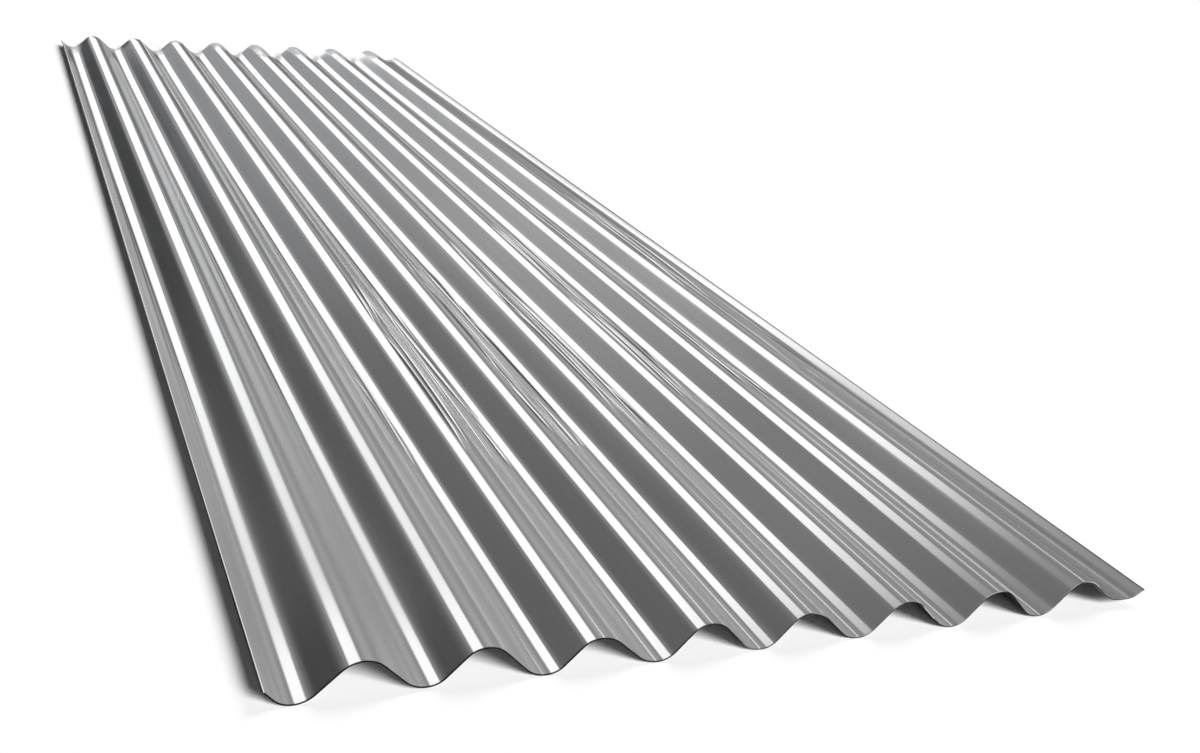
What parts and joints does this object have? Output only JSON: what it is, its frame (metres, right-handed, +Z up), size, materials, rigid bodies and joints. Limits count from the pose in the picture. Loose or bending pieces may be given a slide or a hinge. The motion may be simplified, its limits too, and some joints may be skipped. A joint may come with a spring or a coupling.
{
  "type": "corrugated metal sheet",
  "caption": "Long, thin corrugated steel sheet for roofs, walls and fences: evenly rounded waves run its whole length, and both long edges turn up to lap under the next sheet.",
  "frame": {"origin": "on the floor under the middle trough, halfway along the sheet (bottom centre of its bounding box)", "axes": "+X across the waves to the right-hand long edge, +Y along the waves to the far end, +Z up"},
  "size_m": [0.576, 2, 0.0222],
  "materials": {
    "zinc_coated_steel": "bright, smooth zinc coating with faint lengthwise rolling marks, light scuffs and soft creases along the waves"
  },
  "bodies": {
    "root": {"corrugated_sheet": "zinc_coated_steel"}
  },
  "joints": []
}
